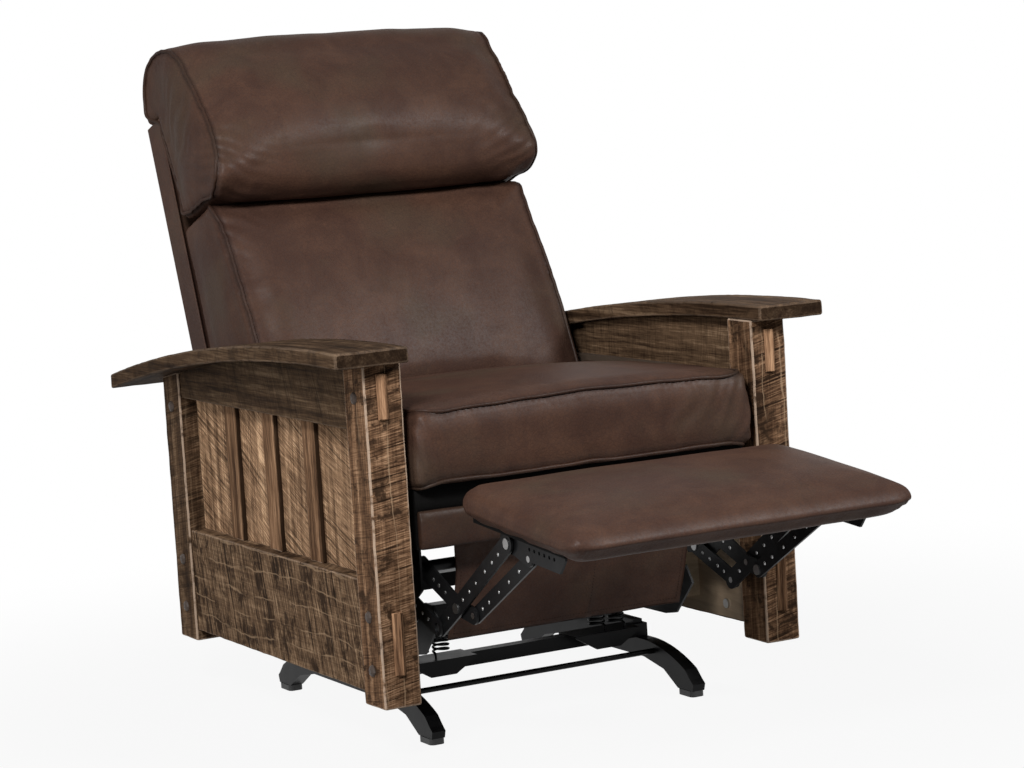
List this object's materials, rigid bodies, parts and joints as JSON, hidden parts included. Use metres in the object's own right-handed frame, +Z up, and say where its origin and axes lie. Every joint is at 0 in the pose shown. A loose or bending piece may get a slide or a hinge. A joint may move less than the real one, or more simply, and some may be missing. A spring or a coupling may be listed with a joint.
{
  "type": "rocker recliner",
  "caption": "Padded reclining chair with wide bowed arms on slatted rough wood sides, a raised padded footrest on scissor links and a steel rocking base.",
  "frame": {"origin": "on the floor, midway between the chair's foremost and rearmost points and on its middle plane", "axes": "+Z up, the chair's front faces -Y, +X is the sitter's left"},
  "size_m": [0.889, 1.4913, 1.1523],
  "materials": {
    "rough_wood": "rough-sawn, dark stained",
    "raw_plywood": "raw, sanded",
    "frame_wood": "raw, sawn",
    "leather": "dark brown, soft grain, semi-gloss",
    "black_steel": "black enamel, semi-gloss",
    "spring_steel": "plain wire",
    "bright_steel": "zinc plated",
    "black_plastic": "matt"
  },
  "bodies": {
    "rocker_base": {"base_rail_left": "black_steel", "base_rail_right": "black_steel", "foot_pads": "black_plastic", "base_tubes": "black_steel", "spring_shelves": "black_steel", "rocking_springs": "black_steel"},
    "chair_frame": {"front_post_left": "rough_wood", "front_post_right": "rough_wood", "rear_post_left": "rough_wood", "rear_post_right": "rough_wood", "top_rail_left": "rough_wood", "top_rail_right": "rough_wood", "bottom_rail_left": "rough_wood", "bottom_rail_right": "rough_wood", "slat_boards_left": "rough_wood", "slat_boards_right": "rough_wood", "battens": "rough_wood", "inner_panel_left": "raw_plywood", "inner_panel_right": "raw_plywood", "arm_board_left": "rough_wood", "arm_board_right": "rough_wood", "pegs": "rough_wood", "tenons": "rough_wood", "rocker_cam_left": "black_steel", "rocker_cam_right": "black_steel", "frame_tubes": "black_steel", "frame_bolts": "bright_steel", "mounting_blocks": "frame_wood", "side_plates": "black_steel"},
    "front_swing": {"front_swing_links": "black_steel"},
    "rear_swing": {"rear_swing_links": "black_steel"},
    "seat": {"seat_rail_left": "black_steel", "seat_rail_right": "black_steel", "seat_pins": "black_steel", "seat_box": "frame_wood", "seat_fascia": "leather", "seat_springs": "spring_steel", "seat_cushion": "leather", "front_apron": "leather"},
    "upper_links": {"upper_link_left": "black_steel", "upper_link_right": "black_steel", "upper_link_rivets": "black_steel", "drive_tube": "black_steel"},
    "lower_links": {"lower_link_left": "black_steel", "lower_link_right": "black_steel"},
    "long_links": {"long_link_left": "black_steel", "long_link_right": "black_steel", "long_link_rivets": "black_steel"},
    "short_links": {"short_link_left": "black_steel", "short_link_right": "black_steel"},
    "footrest": {"footrest_board": "raw_plywood", "footrest_pad": "leather", "footrest_brackets": "black_steel", "footrest_rivets": "black_steel"},
    "back": {"back_frame": "frame_wood", "outside_back": "leather", "back_springs": "spring_steel", "back_brackets": "black_steel", "back_cushion": "leather", "head_roll": "leather"}
  },
  "joints": [
    {"name": "rock", "type": "hinge", "parent": "rocker_base", "child": "chair_frame", "pos_m": [0, 0.135, 0.4283], "axis": [1, 0, 0], "range_deg": [-8, 6], "stiffness_Nm_per_rad": 700, "springref_deg": 4.6, "deforming": ["rocking_springs"]},
    {"name": "seat_swing", "type": "hinge", "parent": "chair_frame", "child": "rear_swing", "pos_m": [0, 0.36, 0.19], "axis": [1, 0, 0], "range_deg": [-9.8, 32]},
    {"name": "front_swing_turn", "type": "hinge", "parent": "chair_frame", "child": "front_swing", "pos_m": [0, 0.02, 0.19], "axis": [1, 0, 0], "range_deg": [-10.3, 32.5]},
    {"name": "seat_level", "type": "hinge", "parent": "rear_swing", "child": "seat", "pos_m": [0, 0.37975, 0.28292], "axis": [1, 0, 0], "range_deg": [-32.5, 10.3]},
    {"name": "back_recline", "type": "hinge", "parent": "seat", "child": "back", "pos_m": [0, 0.33, 0.425], "axis": [-1, 0, 0], "range_deg": [-8.5, 26.5]},
    {"name": "footrest_extend", "type": "hinge", "parent": "seat", "child": "upper_links", "pos_m": [0, -0.189, 0.295], "axis": [1, 0, 0], "range_deg": [0, 115]},
    {"name": "lower_link_turn", "type": "hinge", "parent": "seat", "child": "lower_links", "pos_m": [0, -0.1315, 0.251], "axis": [1, 0, 0], "range_deg": [-0.5, 122.6]},
    {"name": "long_link_turn", "type": "hinge", "parent": "upper_links", "child": "long_links", "pos_m": [0, -0.3085, 0.2455], "axis": [1, 0, 0], "range_deg": [-111.2, 0.5]},
    {"name": "short_link_turn", "type": "hinge", "parent": "upper_links", "child": "short_links", "pos_m": [0, -0.352, 0.239], "axis": [1, 0, 0], "range_deg": [-109.14, 0.5]},
    {"name": "footrest_turn", "type": "hinge", "parent": "long_links", "child": "footrest", "pos_m": [0, -0.489, 0.368], "axis": [1, 0, 0], "range_deg": [-0.5, 79.71]}
  ],
  "couplings": [
    {"joint": "front_swing_turn", "follows": "seat_swing", "ratio": 1},
    {"joint": "seat_level", "follows": "seat_swing", "ratio": -1},
    {"joint": "back_recline", "follows": "seat_swing", "ratio": 0.8125},
    {"joint": "lower_link_turn", "follows": "footrest_extend", "ratio": 1.0617},
    {"joint": "long_link_turn", "follows": "footrest_extend", "ratio": -0.9626},
    {"joint": "short_link_turn", "follows": "footrest_extend", "ratio": -0.94471},
    {"joint": "footrest_turn", "follows": "footrest_extend", "ratio": 0.68874}
  ]
}
